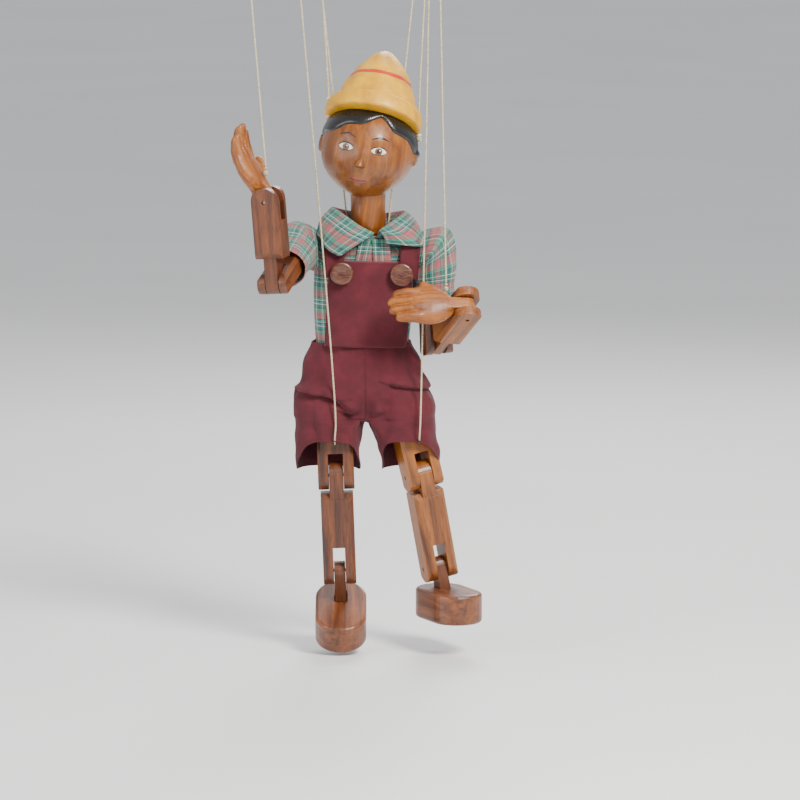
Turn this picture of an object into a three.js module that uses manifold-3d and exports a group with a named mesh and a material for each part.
// Carved wooden string puppet: a jointed doll hanging from eight strings.
// Millimetres, +Z up. The puppet faces -Y; names use the puppet's own left (+X) and right (-X).
import * as THREE from 'three';
import { mergeVertices } from 'three/addons/utils/BufferGeometryUtils.js';
import Module from 'manifold-3d';

const wasm = await Module();
wasm.setup();

// ---------------------------------------------------------------- driving dimensions
// Places are given above the level of the standing sole (z = 0). The whole group is moved
// at the end so that the origin lies between the loops of the two shoulder strings.
const HOLD = new THREE.Vector3(-4, 100, 556);

const CLEAR = 0.3;            // gap between pieces that touch
const PIN_RADIUS = 1.5;
const STRING_DIAMETER = 1.5;

const PELVIS = new THREE.Vector3(-6, 0, 214);
const TORSO_LEAN = 1.3;       // degrees, top towards +X
const HIP_HALF_SPAN = 28;
const SHOULDER_HALF_SPAN = 55.5;
const SHOULDER_HEIGHT = 113;  // above the pelvis centre
const NECK_HEIGHT = 128.5;    // nod pivot above the pelvis centre
const TORSO_TOP = 112;

const HEAD_CENTRE = new THREE.Vector3(-3.4, 0, 406);
const HEAD_LEAN = 8.6;
const HEAD_YAW = -7.5;
const HAT_CENTRE = new THREE.Vector3(1.7, 3, 434);
const HAT_LEAN = 12;
const HAT_PITCH = 27;
const BRIM_RADIUS = 42;
const BRIM_HOLE_RADIUS = 39.3;
const HAT_HEIGHT = 60;

const ARM = { length: 88, width: 26, depth: 18, slot: 12.2 };
const FOREARM = { length: 70, width: 24, slot: 11.4, shoulder: 22 };
const THIGH = { length: 90, width: 31, depth: 25, slot: 13 };
const SHIN = { length: 84, width: 28, depth: 24, slot: 10.6, shoulder: 15 };
const FOOT = { length: 74, width: 44, height: 26, ankleFromHeel: 25 };
const HAND_LENGTH = 68;

// ---------------------------------------------------------------- materials
const paint = (color, roughness, metalness = 0) =>
  new THREE.MeshStandardMaterial({ color, roughness, metalness });
const limbWood = paint(0x8a4a25, 0.45);
const footWood = paint(0x7a4324, 0.5);
const headWood = paint(0xb5651d, 0.25);
const handWood = paint(0xb87333, 0.3);
const hiddenWood = paint(0xb08a5a, 0.7);
const buttonWood = paint(0x4a2a18, 0.4);
const hatPaint = paint(0xe8b800, 0.35);
const hairPaint = paint(0x0b0b0b, 0.2);
const maroonCloth = paint(0x5a1624, 0.9);
const plaidCloth = paint(0x4f8573, 0.9);
const stringCotton = paint(0xd8ccb4, 0.95);
const steel = paint(0x9a9a98, 0.35, 1);

// ---------------------------------------------------------------- solids: geometry in, geometry out
function toSolid(geometry) {
  const plain = geometry.clone();
  plain.deleteAttribute('normal');
  plain.deleteAttribute('uv');
  const merged = mergeVertices(plain, 1e-4);
  return new wasm.Manifold(new wasm.Mesh({
    numProp: 3,
    vertProperties: Float32Array.from(merged.attributes.position.array),
    triVerts: Uint32Array.from(merged.index.array),
  }));
}

function toGeometry(solid) {
  const mesh = solid.getMesh();
  const geometry = new THREE.BufferGeometry();
  geometry.setAttribute('position', new THREE.BufferAttribute(Float32Array.from(mesh.vertProperties), 3));
  geometry.setIndex(new THREE.BufferAttribute(Uint32Array.from(mesh.triVerts), 1));
  geometry.computeVertexNormals();
  return geometry;
}

const join = (...pieces) => toGeometry(pieces.map(toSolid).reduce((a, b) => a.add(b)));
const cut = (body, ...tools) => toGeometry(tools.map(toSolid).reduce((a, b) => a.subtract(b), toSolid(body)));
const common = (a, b) => toGeometry(toSolid(a).intersect(toSolid(b)));

// ---------------------------------------------------------------- plain shapes
const radians = THREE.MathUtils.degToRad;

function block(width, depth, zLow, zHigh, x = 0, y = 0) {
  return new THREE.BoxGeometry(width, depth, zHigh - zLow).translate(x, y, (zLow + zHigh) / 2);
}

function rodX(radius, length, z = 0, segments = 12) {
  return new THREE.CylinderGeometry(radius, radius, length, segments).rotateZ(Math.PI / 2).translate(0, 0, z);
}

function rodZ(radius, zLow, zHigh, x = 0, y = 0, segments = 14) {
  const rod = new THREE.CylinderGeometry(radius, radius, zHigh - zLow, segments).rotateX(Math.PI / 2);
  return rod.translate(x, y, (zLow + zHigh) / 2);
}

// A plate whose outline is drawn in the (y, z) plane, centred on x = 0.
function plateX(outline, thickness) {
  const plate = new THREE.ExtrudeGeometry(outline, { depth: thickness, bevelEnabled: false, curveSegments: 7 });
  const axes = new THREE.Matrix4().makeBasis(
    new THREE.Vector3(0, 1, 0), new THREE.Vector3(0, 0, 1), new THREE.Vector3(1, 0, 0));
  return plate.translate(0, 0, -thickness / 2).applyMatrix4(axes);
}

// Side outline of a limb: straight sides, with a half-round at either end where asked.
function sideOutline(halfDepth, zTop, zBottom, roundTop, roundBottom) {
  const outline = new THREE.Shape();
  outline.moveTo(-halfDepth, zTop);
  if (roundBottom) {
    outline.lineTo(-halfDepth, zBottom);
    outline.absarc(0, zBottom, halfDepth, Math.PI, 2 * Math.PI, false);
  } else {
    outline.lineTo(-halfDepth, zBottom);
    outline.lineTo(halfDepth, zBottom);
  }
  outline.lineTo(halfDepth, zTop);
  if (roundTop) {
    outline.absarc(0, zTop, halfDepth, 0, Math.PI, false);
  }
  return outline;
}

// Bar of rectangular section with chamfered long edges, along Z.
function chamferedBar(width, depth, chamfer, zLow, zHigh) {
  const x = width / 2;
  const y = depth / 2;
  const section = new THREE.Shape([
    new THREE.Vector2(x, -y + chamfer), new THREE.Vector2(x, y - chamfer),
    new THREE.Vector2(x - chamfer, y), new THREE.Vector2(-x + chamfer, y),
    new THREE.Vector2(-x, y - chamfer), new THREE.Vector2(-x, -y + chamfer),
    new THREE.Vector2(-x + chamfer, -y), new THREE.Vector2(x - chamfer, -y),
  ]);
  return new THREE.ExtrudeGeometry(section, { depth: zHigh - zLow, bevelEnabled: false }).translate(0, 0, zLow);
}

// ---------------------------------------------------------------- lofted shapes
const RING_POINTS = 24;

// Closed ring of a rounded-rectangle kind: power 2 is an ellipse, higher is squarer.
function ring(radiusX, radiusY, z, power = 2.6, x = 0, y = 0) {
  const points = [];
  for (let i = 0; i < RING_POINTS; i += 1) {
    const angle = (2 * Math.PI * i) / RING_POINTS;
    const c = Math.cos(angle);
    const s = Math.sin(angle);
    points.push(new THREE.Vector3(
      x + radiusX * Math.sign(c) * Math.abs(c) ** (2 / power),
      y + radiusY * Math.sign(s) * Math.abs(s) ** (2 / power),
      z));
  }
  return points;
}

function ringWalls(rings, closed) {
  const positions = rings.flat().flatMap((p) => [p.x, p.y, p.z]);
  const indices = [];
  const count = rings[0].length;
  const bands = closed ? rings.length : rings.length - 1;
  for (let band = 0; band < bands; band += 1) {
    const low = band * count;
    const high = ((band + 1) % rings.length) * count;
    for (let i = 0; i < count; i += 1) {
      const next = (i + 1) % count;
      indices.push(low + i, low + next, high + next, low + i, high + next, high + i);
    }
  }
  return { positions, indices };
}

function indexedGeometry(positions, indices) {
  const geometry = new THREE.BufferGeometry();
  geometry.setAttribute('position', new THREE.Float32BufferAttribute(positions, 3));
  geometry.setIndex(indices);
  geometry.computeVertexNormals();
  return geometry;
}

// Solid through a stack of rings listed from the bottom up.
function loft(rings) {
  const { positions, indices } = ringWalls(rings, false);
  const count = rings[0].length;
  const last = (rings.length - 1) * count;
  for (let i = 1; i < count - 1; i += 1) {
    indices.push(0, i + 1, i);
    indices.push(last, last + i, last + i + 1);
  }
  return indexedGeometry(positions, indices);
}

// Open-ended thin wall: the stack of rings as its outside, set in by the thickness for its inside.
function sleeveWall(rings, thickness) {
  const inside = rings.map((points) => {
    const centre = points.reduce((sum, p) => sum.add(p), new THREE.Vector3()).divideScalar(points.length);
    return points.map((p) => {
      const arm = p.clone().sub(centre);
      return centre.clone().add(arm.multiplyScalar(1 - thickness / arm.length()));
    });
  });
  const { positions, indices } = ringWalls([...rings, ...inside.reverse()], true);
  return indexedGeometry(positions, indices);
}

// Cord of eight sides along a list of points.
function cordAlong(points, diameter, steps) {
  const corner = (i) => new THREE.Vector2(diameter / 2, 0).rotateAround(new THREE.Vector2(), (i * Math.PI) / 4);
  const section = new THREE.Shape(Array.from({ length: 8 }, (_, i) => corner(i)));
  const path = new THREE.CatmullRomCurve3(points, false, 'centripetal');
  return new THREE.ExtrudeGeometry(section, { extrudePath: path, steps, bevelEnabled: false });
}

// ---------------------------------------------------------------- frames
// Every frame is a Matrix4 whose X axis is the hinge and whose -Z axis runs down the limb.
const vector = (x, y, z) => new THREE.Vector3(x, y, z);

function hingeFrame(origin, hinge, down) {
  const z = down.clone().normalize().negate();
  const x = hinge.clone().addScaledVector(z, -hinge.dot(z)).normalize();
  const y = z.clone().cross(x);
  return new THREE.Matrix4().makeBasis(x, y, z).setPosition(origin);
}

function turnedFrame(origin, pitch, yaw, lean) {
  const turn = new THREE.Euler(radians(pitch), radians(lean), radians(yaw), 'YXZ');
  return new THREE.Matrix4().makeRotationFromEuler(turn).setPosition(origin);
}

const at = (frame, x, y, z) => vector(x, y, z).applyMatrix4(frame);
const placed = (geometry, frame) => geometry.clone().applyMatrix4(frame);
const axisX = (frame) => vector(0, 0, 0).setFromMatrixColumn(frame, 0);
const axisY = (frame) => vector(0, 0, 0).setFromMatrixColumn(frame, 1);

const torsoFrame = turnedFrame(PELVIS, 0, 0, TORSO_LEAN);
const neckPivot = at(torsoFrame, 0, 0, NECK_HEIGHT);
const headFrame = turnedFrame(HEAD_CENTRE, 0, HEAD_YAW, HEAD_LEAN);
const hatFrame = turnedFrame(HAT_CENTRE, -HAT_PITCH, 0, HAT_LEAN);
const brimPlane = turnedFrame(HAT_CENTRE, 0, 0, HAT_LEAN);

// Rest pose: which way each arm and leg segment points, and the small roll of the forearm.
const ARM_POSE = {
  right: {
    side: -1, upper: vector(-22, -79, -28), fore: vector(-5, 0, 64), roll: 0,
    hand: vector(-0.56, 0, 0.83), tongue: 11, palmSide: -1, curl: 13, stringOnHand: vector(2, -12, -21),
  },
  left: {
    side: 1, upper: vector(3.4, 2, -88), fore: vector(0.355, -0.75, 0.553), roll: -13,
    hand: vector(-0.95, -0.15, 0.14), tongue: 7.4, palmSide: 1, curl: 3, stringOnHand: vector(-17, 1, -16),
  },
};
const LEG_POSE = {
  right: { side: -1, yaw: 0, spread: -2, thighSwing: 2, shinSwing: -3, tongue: 28, footYaw: 0, footPitch: 26 },
  left: { side: 1, yaw: 20, spread: -12, thighSwing: 6, shinSwing: -4, tongue: 20, footYaw: 26, footPitch: 0 },
};

function armFrames(pose) {
  const shoulder = at(torsoFrame, pose.side * SHOULDER_HALF_SPAN, 0, SHOULDER_HEIGHT);
  const upperDown = pose.upper.clone().normalize();
  const foreDown = pose.fore.clone().normalize();
  const swingAxis = foreDown.clone().cross(upperDown).normalize();
  const elbow = shoulder.clone().addScaledVector(upperDown, ARM.length);
  const elbowAxis = swingAxis.clone().applyAxisAngle(foreDown, radians(pose.roll));
  const wrist = elbow.clone().addScaledVector(foreDown, FOREARM.length);
  const fore = hingeFrame(elbow, elbowAxis, foreDown);
  const handDown = pose.hand.clone().addScaledVector(axisY(fore), -pose.hand.dot(axisY(fore)));
  return {
    upper: hingeFrame(shoulder, swingAxis, upperDown),
    fore,
    hand: hingeFrame(wrist, axisY(fore), handDown),
    shoulder, elbow, wrist,
  };
}

function legFrames(pose) {
  const hip = at(torsoFrame, pose.side * HIP_HALF_SPAN, 0, 0);
  const plane = new THREE.Matrix4().makeRotationZ(radians(pose.yaw))
    .multiply(new THREE.Matrix4().makeRotationY(radians(pose.spread)));
  const forward = (degrees) => vector(0, 0, -1).applyAxisAngle(vector(1, 0, 0), radians(-degrees));
  const swung = (degrees) => forward(degrees).applyMatrix4(plane);
  const hinge = vector(1, 0, 0).applyMatrix4(plane);
  const knee = hip.clone().addScaledVector(swung(pose.thighSwing), THIGH.length);
  const ankle = knee.clone().addScaledVector(swung(pose.shinSwing), SHIN.length);
  const footDown = vector(0, 0, -1).transformDirection(turnedFrame(ankle, pose.footPitch, pose.footYaw, 0));
  const tongueDown = footDown.clone().addScaledVector(hinge, -footDown.dot(hinge)).normalize();
  const footTop = ankle.clone().addScaledVector(tongueDown, pose.tongue);
  return {
    thigh: hingeFrame(hip, hinge, swung(pose.thighSwing)),
    shin: hingeFrame(knee, hinge, swung(pose.shinSwing)),
    tongue: hingeFrame(ankle, hinge, tongueDown),
    foot: turnedFrame(footTop, pose.footPitch, pose.footYaw, 0),
    hip, knee, ankle,
  };
}

const arms = { right: armFrames(ARM_POSE.right), left: armFrames(ARM_POSE.left) };
const legs = { right: legFrames(LEG_POSE.right), left: legFrames(LEG_POSE.left) };

// ---------------------------------------------------------------- group and naming
const puppet = new THREE.Group();

function addPart(name, geometry, material) {
  const mesh = new THREE.Mesh(geometry, material);
  mesh.name = name;
  puppet.add(mesh);
}

// ---------------------------------------------------------------- torso and its fittings
const TORSO_SECTIONS = [
  [28, 17, -8], [33, 20, 4], [31, 19, 30], [33, 20, 60],
  [34, 21, 88], [41, 18, 100], [41, 17, 108], [30, 14, TORSO_TOP],
];
const SHIRT_BAND = { low: 29, high: 108, offset: 1.7, thickness: 1.1 };
const POST_RADIUS = 2;

// Torso half-sizes at any height, from the section list.
function torsoHalfSizes(z) {
  const above = TORSO_SECTIONS.findIndex((section) => section[2] >= z);
  const high = TORSO_SECTIONS[above];
  const low = TORSO_SECTIONS[above - 1];
  const share = (z - low[2]) / (high[2] - low[2]);
  return [0, 1].map((i) => low[i] + share * (high[i] - low[i]));
}

// Rings around the torso, one at each of its own sections between the two heights.
function torsoBand(offset, zLow, zHigh) {
  const between = TORSO_SECTIONS.map((section) => section[2]).filter((z) => z > zLow + 1 && z < zHigh - 1);
  return [zLow, ...between, zHigh].map((z) => {
    const [halfX, halfY] = torsoHalfSizes(z);
    return ring(halfX + offset, halfY + offset, z, 2.8);
  });
}

// The wire that carries a limb leaves the torso level and bends to the limb's own hinge line.
function wireRoute(frames, centre, innerReach, outerReach) {
  const route = [centre];
  for (const [frame, side] of frames) {
    const middle = vector(0, 0, 0).setFromMatrixPosition(frame);
    const along = axisX(frame).multiplyScalar(side);
    route.push(middle.clone().addScaledVector(along, -innerReach));
    route.push(middle.clone().addScaledVector(along, outerReach));
  }
  return route.sort((a, b) => a.x - b.x);
}

function wireRods(route, radius) {
  return route.slice(1).map((end, i) => straightRod(route[i], end, radius, 8));
}

function wireWithHeads(route) {
  const headAt = (end, before) => straightRod(end, end.clone().lerp(before, 0.1), PIN_RADIUS * 2, 8);
  const last = route.length - 1;
  return join(...wireRods(route, PIN_RADIUS), headAt(route[0], route[1]), headAt(route[last], route[last - 1]));
}

function straightRod(start, end, radius, segments = 10) {
  const along = end.clone().sub(start);
  const turn = new THREE.Quaternion().setFromUnitVectors(vector(0, 1, 0), along.clone().normalize());
  const rod = new THREE.CylinderGeometry(radius, radius, along.length(), segments).applyQuaternion(turn);
  return rod.translate(...start.clone().add(end).multiplyScalar(0.5).toArray());
}

function ball(centre, radius) {
  return new THREE.SphereGeometry(radius, 10, 6).translate(centre.x, centre.y, centre.z);
}

const shoulderRoute = wireRoute(
  [[arms.right.upper, -1], [arms.left.upper, 1]], at(torsoFrame, 0, 8, SHOULDER_HEIGHT - 13), 9.5, 12.5);
const hipRoute = wireRoute([[legs.right.thigh, -1], [legs.left.thigh, 1]], at(torsoFrame, 0, 0, 0), 12, 14.5);
const shoulderBore = wireRods(shoulderRoute, PIN_RADIUS + 1.5 * CLEAR);
const hipBore = wireRods(hipRoute, PIN_RADIUS + 1.5 * CLEAR);

function torsoBlock() {
  const body = loft(TORSO_SECTIONS.map(([halfX, halfY, z]) => ring(halfX, halfY, z, 2.8)));
  const hipRelief = [-1, 1].map((side) => block(44, 60, -40, 16, side * (10.5 + 22)));
  const neckBore = rodZ(POST_RADIUS + CLEAR, TORSO_TOP - 18, TORSO_TOP + 5);
  return cut(placed(cut(body, ...hipRelief, neckBore), torsoFrame), ...shoulderBore, ...hipBore);
}

function shirtBody() {
  const band = torsoBand(SHIRT_BAND.offset, SHIRT_BAND.low, SHIRT_BAND.high);
  const shell = sleeveWall(band, SHIRT_BAND.thickness);
  return cut(placed(shell, torsoFrame), ...shoulderBore);
}

function shirtCollar() {
  const sizes = [[17.9, 0.6], [17.6, 9], [18.6, 17]];
  const rings = sizes.map(([radius, rise]) => ring(radius, radius, TORSO_TOP + rise, 2));
  return placed(sleeveWall(rings, 1.1), torsoFrame);
}

const BIB = { low: 26, high: 96, offset: 3.2, thickness: 1.2, halfWidth: 31 };
const STRAP = { x: 29, width: 13 };

// The strap is a thin band that runs up the chest, over the shoulder and down the back.
function strap(side) {
  const route = [[-20.8, 86], [-20.8, 96], [-19.6, 105], [-15, 113.6], [0, 115], [15, 113.6], [19.6, 105],
    [20.8, 90], [19.4, 60], [18.2, 28]];
  const inner = route.map(([y, z]) => new THREE.Vector2(y, z));
  const outer = route.map(([y, z]) => new THREE.Vector2(y * 1.09, z + (z > 112 ? 1.6 : 0)));
  return plateX(new THREE.Shape([...inner, ...outer.reverse()]), STRAP.width).translate(side * STRAP.x, 0, 0);
}

function overallBib() {
  const band = sleeveWall(torsoBand(BIB.offset, BIB.low, BIB.high), BIB.thickness);
  const front = common(band, block(2 * BIB.halfWidth, 40, BIB.low - 1, BIB.high + 1, 0, -21));
  const waistband = sleeveWall(torsoBand(BIB.offset, BIB.low, BIB.low + 8), BIB.thickness);
  return placed(join(front, waistband, strap(-1), strap(1)), torsoFrame);
}

function shortsSeat() {
  const rings = [ring(50, 29, -6), ring(48, 28, 2), ring(42, 26, 14), ring(35.5, 23.4, BIB.low - CLEAR)];
  return placed(sleeveWall(rings, 1.3), torsoFrame);
}

const BUTTON = { radius: 10, thickness: 4, x: 25.5, shift: 4, height: 88 };

function button(side) {
  const lens = new THREE.LatheGeometry([
    new THREE.Vector2(0, 0), new THREE.Vector2(8.5, 0), new THREE.Vector2(BUTTON.radius, 1.2),
    new THREE.Vector2(BUTTON.radius, 2.2), new THREE.Vector2(7, 3.6), new THREE.Vector2(0, BUTTON.thickness),
  ], 20).rotateX(Math.PI);
  const threadHoles = [-1, 1].map((way) => rodX(0.9, 12, 0, 8).rotateZ(Math.PI / 2).translate(way * 2, 0, 0));
  const front = -torsoHalfSizes(BUTTON.height)[1] - BIB.offset - 1.6;
  const disc = cut(lens, ...threadHoles).translate(side * BUTTON.x + BUTTON.shift, front, BUTTON.height);
  return placed(disc, torsoFrame);
}

addPart('torso_block', torsoBlock(), hiddenWood);
addPart('shirt_body', shirtBody(), plaidCloth);
addPart('shirt_collar', shirtCollar(), plaidCloth);
addPart('overall_bib', overallBib(), maroonCloth);
addPart('shorts_seat', shortsSeat(), maroonCloth);
addPart('button_right', button(-1), buttonWood);
addPart('button_left', button(1), buttonWood);
addPart('shoulder_wire', wireWithHeads(shoulderRoute), steel);
addPart('hip_wire', wireWithHeads(hipRoute), steel);

// ---------------------------------------------------------------- jointed limbs
const LIMB_CHAMFER = 3;

// Fork at the lower end of a limb: slot and rounded prong tips about the lower pivot.
function forked(bar, size, slotRise) {
  const slot = block(size.slot, 3 * size.depth, -size.length - size.depth, -size.length + slotRise);
  return cut(bar, slot);
}

function roundedBar(size, zTop, roundTop) {
  const outline = sideOutline(size.depth / 2, zTop, -size.length, roundTop, true);
  const bar = chamferedBar(size.width, size.depth, LIMB_CHAMFER, -size.length - size.depth, zTop + size.depth);
  return common(bar, plateX(outline, size.width + 2));
}

function pinHole(frame, length) {
  return placed(rodX(PIN_RADIUS + CLEAR, length), frame);
}

function pin(frame, length) {
  return placed(rodX(PIN_RADIUS, length), frame);
}

// Limb whose lower part is a round-ended tongue plate at its own upper pivot.
function tonguedBar(size, tongueThickness, tongueHalfDepth) {
  const body = roundedBar(size, -size.shoulder, false);
  const reach = size.shoulder + 6;
  const tongue = plateX(sideOutline(tongueHalfDepth, 0, -reach, true, false), tongueThickness);
  const corners = [-1, 1].map((way) => block(60, 8, -4, 4).rotateX(Math.PI / 4)
    .translate(0, way * (size.depth / 2 + 0.6), -size.shoulder + 0.6));
  return join(cut(body, ...corners), tongue);
}

function addArm(name, pose, frames) {
  const bar = forked(roundedBar(ARM, 0, true), ARM, ARM.depth / 2 + 10);
  const relief = [-1, 1].map((way) => block(10, 40, -26, 14, way * (8 + 5)));
  const upper = placed(cut(bar, ...relief), frames.upper);
  addPart(`upper_arm_${name}`, cut(upper, ...shoulderBore, pinHole(frames.fore, 60)), limbWood);

  const rings = [ring(16, 14, -54, 2.4), ring(16, 14, -40, 2.4), ring(16, 13.5, -27, 2.4)];
  addPart(`sleeve_${name}`, placed(sleeveWall(rings, 1.1), frames.upper), plaidCloth);

  const wristSlot = block(3 * FOREARM.width, FOREARM.slot, -FOREARM.length - 30, -FOREARM.length + 16);
  const foreSize = { ...FOREARM, depth: FOREARM.width, width: FOREARM.width };
  const foreBar = cut(forearmBar(foreSize, pose.tongue), wristSlot);
  const elbowHole = pinHole(frames.fore, 60);
  const wristHole = pinHole(frames.hand, 60);
  addPart(`forearm_${name}`, cut(placed(foreBar, frames.fore), elbowHole, wristHole), limbWood);
  addPart(`elbow_pin_${name}`, pin(frames.fore, ARM.width - 5), steel);
  addPart(`wrist_pin_${name}`, pin(frames.hand, FOREARM.width - 1), steel);
  addPart(`hand_${name}`, cut(placed(hand(pose), frames.hand), wristHole), handWood);
}

// The forearm: tongue across the elbow at its top, and prong tips rounded about the wrist,
// whose hinge line is turned a quarter from the elbow's.
function forearmBar(size, tongueThickness) {
  const half = size.width / 2;
  const tips = sideOutline(half, -size.shoulder, -size.length, false, true);
  const bar = chamferedBar(size.width, size.depth + 3, LIMB_CHAMFER, -size.length - 20, -size.shoulder);
  const body = common(bar, plateX(tips, 2 * size.depth).rotateZ(Math.PI / 2));
  const corners = [-1, 1].map((way) => block(60, 7, -3.5, 3.5).rotateX(Math.PI / 4)
    .translate(0, way * (size.depth / 2 + 1.5), -size.shoulder));
  const tongue = plateX(sideOutline(ARM.depth / 2, 0, -size.shoulder - 6, true, false), tongueThickness);
  return join(cut(body, ...corners), tongue);
}

const HAND_SECTIONS = [
  [11, 5, -HAND_LENGTH], [15.5, 6.5, -64], [18, 7.5, -50], [18.5, 8.5, -34], [15, 8.5, -20], [10, 7.5, -14.5],
];

function hand(pose) {
  const bend = (z) => pose.palmSide * pose.curl * Math.max(0, (-z - 30) / (HAND_LENGTH - 30)) ** 2;
  const palm = loft(HAND_SECTIONS.map(([halfX, halfY, z]) => ring(halfX, halfY, z, 2.4, 0, bend(z))));
  const tongue = plateX(sideOutline(7.5, 0, -18, true, false), FOREARM.slot - 1.2);
  const root = vector(-12, pose.palmSide * 4, -24);
  const tip = vector(-23, pose.palmSide * 3, -34);
  const thumb = join(straightRod(root, tip, 4), ball(root, 4.05), ball(tip, 4.05));
  return join(palm, tongue, thumb);
}

addArm('right', ARM_POSE.right, arms.right);
addArm('left', ARM_POSE.left, arms.left);

const KNEE_STRING_HEIGHT = 28;   // string hole above the knee pivot
const STRING_HOLE_RADIUS = 1.3;
const HEM_SLOPE = 0.48;          // the shorts ride up over the knee in front
const MORTISE_DEPTH = 16;
const ANKLE_TONGUE = { thickness: 9.4, halfDepth: 8 };

function footBlock() {
  const inset = 2.5;
  const half = FOOT.width / 2 - inset;
  const heel = FOOT.ankleFromHeel - FOOT.width / 2;
  const toe = heel - (FOOT.length - FOOT.width);
  const plan = new THREE.Shape();
  plan.absarc(0, heel, half, 0, Math.PI, false);
  plan.absarc(0, toe, half, Math.PI, 2 * Math.PI, false);
  plan.closePath();
  return new THREE.ExtrudeGeometry(plan, {
    depth: FOOT.height - 2 * inset, curveSegments: 8,
    bevelEnabled: true, bevelSize: inset, bevelThickness: inset, bevelSegments: 2,
  }).translate(0, 0, inset - FOOT.height);
}

function addLeg(name, pose, frames) {
  const thighBar = forked(roundedBar(THIGH, 0, true), THIGH, THIGH.depth / 2 + 7);
  const relief = [-1, 1].map((way) => block(12, 60, -12, 16, way * (11 + 6)));
  const stringHole = rodX(STRING_HOLE_RADIUS, 30).rotateZ(Math.PI / 2)
    .translate(0, -THIGH.depth / 2, -THIGH.length + KNEE_STRING_HEIGHT);
  const thigh = placed(cut(thighBar, ...relief, stringHole), frames.thigh);
  const kneeHole = pinHole(frames.shin, 60);
  const ankleHole = pinHole(frames.tongue, 60);
  addPart(`thigh_${name}`, cut(thigh, ...hipBore, kneeHole), limbWood);

  const hem = ring(24, 23, -68, 2.2);
  hem.forEach((point) => point.setZ(point.z - HEM_SLOPE * point.y));
  const rings = [hem, ring(26, 25, -44, 2.2), ring(25.5, 25, -17, 2.2)];
  addPart(`shorts_leg_${name}`, placed(sleeveWall(rings, 1.3), frames.thigh), maroonCloth);

  const shinBar = forked(tonguedBar(SHIN, 12, THIGH.depth / 2 - 1), SHIN, 22);
  addPart(`shin_${name}`, cut(placed(shinBar, frames.shin), kneeHole, ankleHole), limbWood);
  addPart(`knee_pin_${name}`, pin(frames.shin, THIGH.width - 1), steel);
  addPart(`ankle_pin_${name}`, pin(frames.tongue, SHIN.width - 1), steel);

  const depth = pose.tongue + MORTISE_DEPTH;
  const tongue = plateX(sideOutline(ANKLE_TONGUE.halfDepth, 0, -depth, true, false), ANKLE_TONGUE.thickness);
  const mortise = block(
    ANKLE_TONGUE.thickness + 2 * CLEAR, 2 * (ANKLE_TONGUE.halfDepth + CLEAR), -depth - CLEAR, 0);
  addPart(`ankle_tongue_${name}`, cut(placed(tongue, frames.tongue), ankleHole), limbWood);
  addPart(`foot_${name}`, cut(placed(footBlock(), frames.foot), placed(mortise, frames.tongue)), footWood);
}

addLeg('right', LEG_POSE.right, legs.right);
addLeg('left', LEG_POSE.left, legs.left);

// ---------------------------------------------------------------- head, hat and neck
const NECK_RADIUS = 15;
const HAIR_DROP = 15;
const KNOT_DROP = 11.5;         // knot centre below the middle of the brim
const up = (point, amount) => point.clone().add(vector(0, 0, amount));

function latheZ(profile, segments = 32) {
  return new THREE.LatheGeometry(profile.map(([r, z]) => new THREE.Vector2(r, z)), segments).rotateX(Math.PI / 2);
}

const SKULL_PROFILE = [
  [0, -41], [14, -40], [24, -36], [33, -27], [39, -15], [41, -2], [40.5, 10], [38, 20], [32, 30],
  [22, 37], [10, 40.5], [0, 41],
];

function skull(scale) {
  const form = latheZ(SKULL_PROFILE, 24).scale(scale, scale, scale);
  return placed(form, headFrame);
}

// Both ears, and the room that they and the string knots need in the hair.
function ears(scale) {
  return [-1, 1].map((side) => placed(new THREE.SphereGeometry(7, 10, 6).scale(0.5 * scale, 0.8 * scale, scale)
    .translate(side * 41, 3, -2), headFrame));
}

const brimHoles = [-1, 1].map((side) => at(brimPlane, side * BRIM_HOLE_RADIUS, 0, 0));
const brimKnots = brimHoles.map((hole) => up(hole, -KNOT_DROP));
const knotRoom = brimKnots.map((knot) => straightRod(up(knot, -4), up(knot, 8), 3.4, 10));

function headBlock() {
  const aboveBrim = placed(block(120, 120, -7 - CLEAR, 60), hatFrame);
  const chin = up(HEAD_CENTRE, -30);
  const neckEnd = new THREE.SphereGeometry(NECK_RADIUS, 20, 10).translate(...neckPivot.toArray());
  const neck = join(straightRod(neckPivot, chin, NECK_RADIUS, 20), neckEnd);
  const eyeRoom = placed(block(5, 13, NECK_HEIGHT - 20, NECK_HEIGHT + 7), torsoFrame);
  const noseHole = placed(rodX(3 + CLEAR, 20).rotateZ(Math.PI / 2).translate(0, -44, -6), headFrame);
  const crossHole = placed(rodX(PIN_RADIUS + CLEAR, 60, NECK_HEIGHT), torsoFrame);
  return cut(join(skull(1), neck, ...ears(1)), aboveBrim, eyeRoom, noseHole, crossHole, ...knotRoom);
}

function hairCap() {
  const slab = placed(block(120, 120, -7 - HAIR_DROP, -7 - CLEAR), hatFrame);
  const faceOpening = placed(new THREE.SphereGeometry(30, 16, 10).translate(0, -52, -14), headFrame);
  return cut(common(skull(1.07), slab), skull(1.015), faceOpening, ...ears(1.15), ...knotRoom);
}

// Peg nose in a hole of its own, on the face's centre line.
function nose() {
  const peg = latheZ([[0, 0], [3, 0], [3, 6], [6.5, 7.5], [7, 11], [5, 15], [0, 16.5]], 14);
  return placed(peg.rotateX(Math.PI / 2).translate(0, -35, -6), headFrame);
}

function neckPost() {
  const post = rodZ(POST_RADIUS, TORSO_TOP - 17, NECK_HEIGHT - 3.4);
  const eye = new THREE.TorusGeometry(3.6, 1.4, 8, 14).rotateY(Math.PI / 2).translate(0, 0, NECK_HEIGHT);
  return placed(join(post, eye), torsoFrame);
}

const HAT_PROFILE = [
  [0, -7], [36, -7], [40, -4], [BRIM_RADIUS, 2], [41, 6.5], [38, 7.5], [35, 6.2], [34, 9], [32.5, 17],
  [28, 29], [20, 43], [11.5, 53.5], [5, 58.8], [0, HAT_HEIGHT],
];

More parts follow.
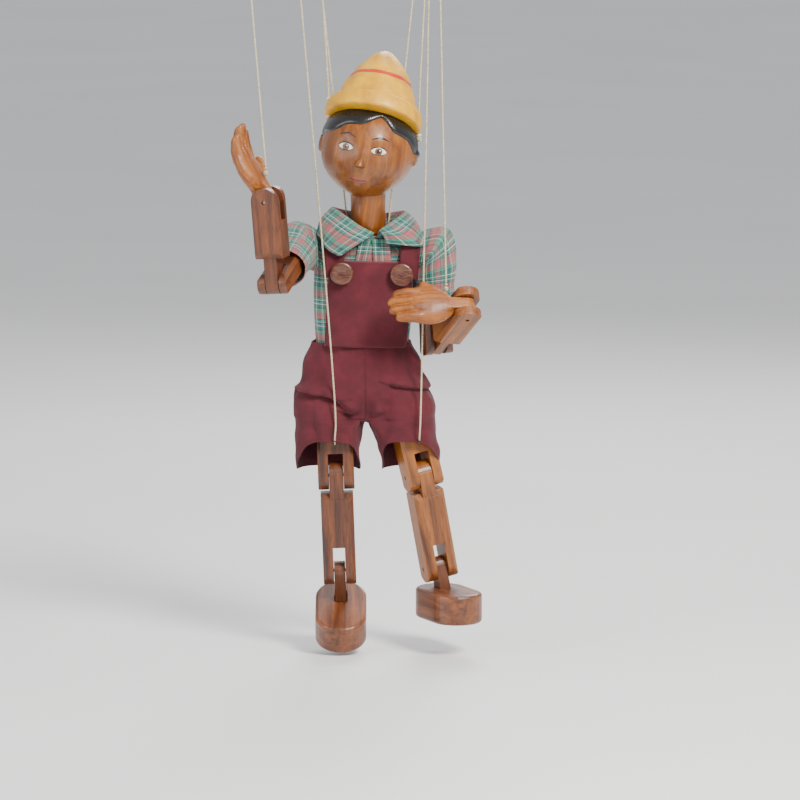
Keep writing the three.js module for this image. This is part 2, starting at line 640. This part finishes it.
addPart('neck_post', neckPost(), steel);
addPart('neck_pin', placed(rodX(PIN_RADIUS, 2 * NECK_RADIUS - 3, NECK_HEIGHT), torsoFrame), steel);
addPart('head', headBlock(), headWood);
addPart('hair', hairCap(), hairPaint);
addPart('nose', nose(), headWood);

// ---------------------------------------------------------------- strings
// Each string is straight from its tie to its top, where it is doubled back into a hand loop.
const LOOP = { height: 12, halfWidth: 4.2, closeBy: 1.9 };
const STRING_TOP = HOLD.z - LOOP.height;
const STRING_TOPS = {
  right_hand: [-101, -70], left_hand: [58, -42], right_knee: [-60, -46], left_knee: [48.7, -32],
  right_head: [-42.5, 4], left_head: [45.6, 4], right_shoulder: [-45, HOLD.y], left_shoulder: [37, HOLD.y],
};

function stringRoute(name, start, bends = []) {
  const [x, y] = STRING_TOPS[name];
  const loop = [
    [0, 0], [LOOP.halfWidth, LOOP.height * 0.45], [LOOP.halfWidth * 0.7, LOOP.height * 0.86], [0, LOOP.height],
    [-LOOP.halfWidth * 0.8, LOOP.height * 0.86], [-LOOP.halfWidth, LOOP.height * 0.45], [-LOOP.closeBy, 1.5],
  ].map(([dx, dz]) => vector(x + dx, y, STRING_TOP + dz));
  const below = vector(x, y, STRING_TOP).lerp(bends[bends.length - 1] ?? start, 0.04);
  return [start, ...bends, below, ...loop];
}

function addString(name, start, bends) {
  addPart(`${name}_string`, cordAlong(stringRoute(name, start, bends), STRING_DIAMETER, 34), stringCotton);
}

function hatWithHoles() {
  const holes = brimHoles.map((hole) => straightRod(up(hole, -20), up(hole, 20), STRING_HOLE_RADIUS));
  return cut(placed(latheZ(HAT_PROFILE, 28), hatFrame), ...holes);
}

addPart('hat', hatWithHoles(), hatPaint);

['right', 'left'].forEach((name, i) => {
  addPart(`head_knot_${name}`, ball(brimKnots[i], 2.6), stringCotton);
  addString(`${name}_head`, up(brimKnots[i], 3), [up(brimHoles[i], 10)]);
});

const SHOULDER_EYE = { x: 17, y: 11.5 };

for (const [name, side] of [['right', -1], ['left', 1]]) {
  const base = at(torsoFrame, side * SHOULDER_EYE.x, SHOULDER_EYE.y, TORSO_TOP);
  const ringCentre = up(base, 5);
  const eye = new THREE.TorusGeometry(2.6, 0.8, 6, 12).rotateY(Math.PI / 2).translate(...ringCentre.toArray());
  addPart(`shoulder_eye_${name}`, join(eye, straightRod(up(base, 0.5), up(base, 3), 0.9)), steel);
  addString(`${name}_shoulder`, up(ringCentre, 3.9));
}

for (const name of ['right', 'left']) {
  const onHand = at(arms[name].hand, ...ARM_POSE[name].stringOnHand.toArray());
  addPart(`hand_knot_${name}`, ball(onHand, 2.2), stringCotton);
  addPart(`hand_tie_${name}`, ball(up(onHand, 3.9), 1.3), stringCotton);
  addString(`${name}_hand`, up(onHand, 5.6));
}

const KNEE_STRING_FRONT = -31;

for (const name of ['right', 'left']) {
  const start = at(legs[name].thigh, 0, -THIGH.depth / 2 - 1, -THIGH.length + KNEE_STRING_HEIGHT);
  const hem = vector(start.x + 0.3, KNEE_STRING_FRONT + 1.5, start.z + 8);
  const aboveHem = vector(start.x + 1, KNEE_STRING_FRONT, start.z + 22);
  addString(`${name}_knee`, start, [hem, aboveHem]);
}

puppet.children.forEach((mesh) => mesh.geometry.translate(-HOLD.x, -HOLD.y, -HOLD.z));

export default puppet;
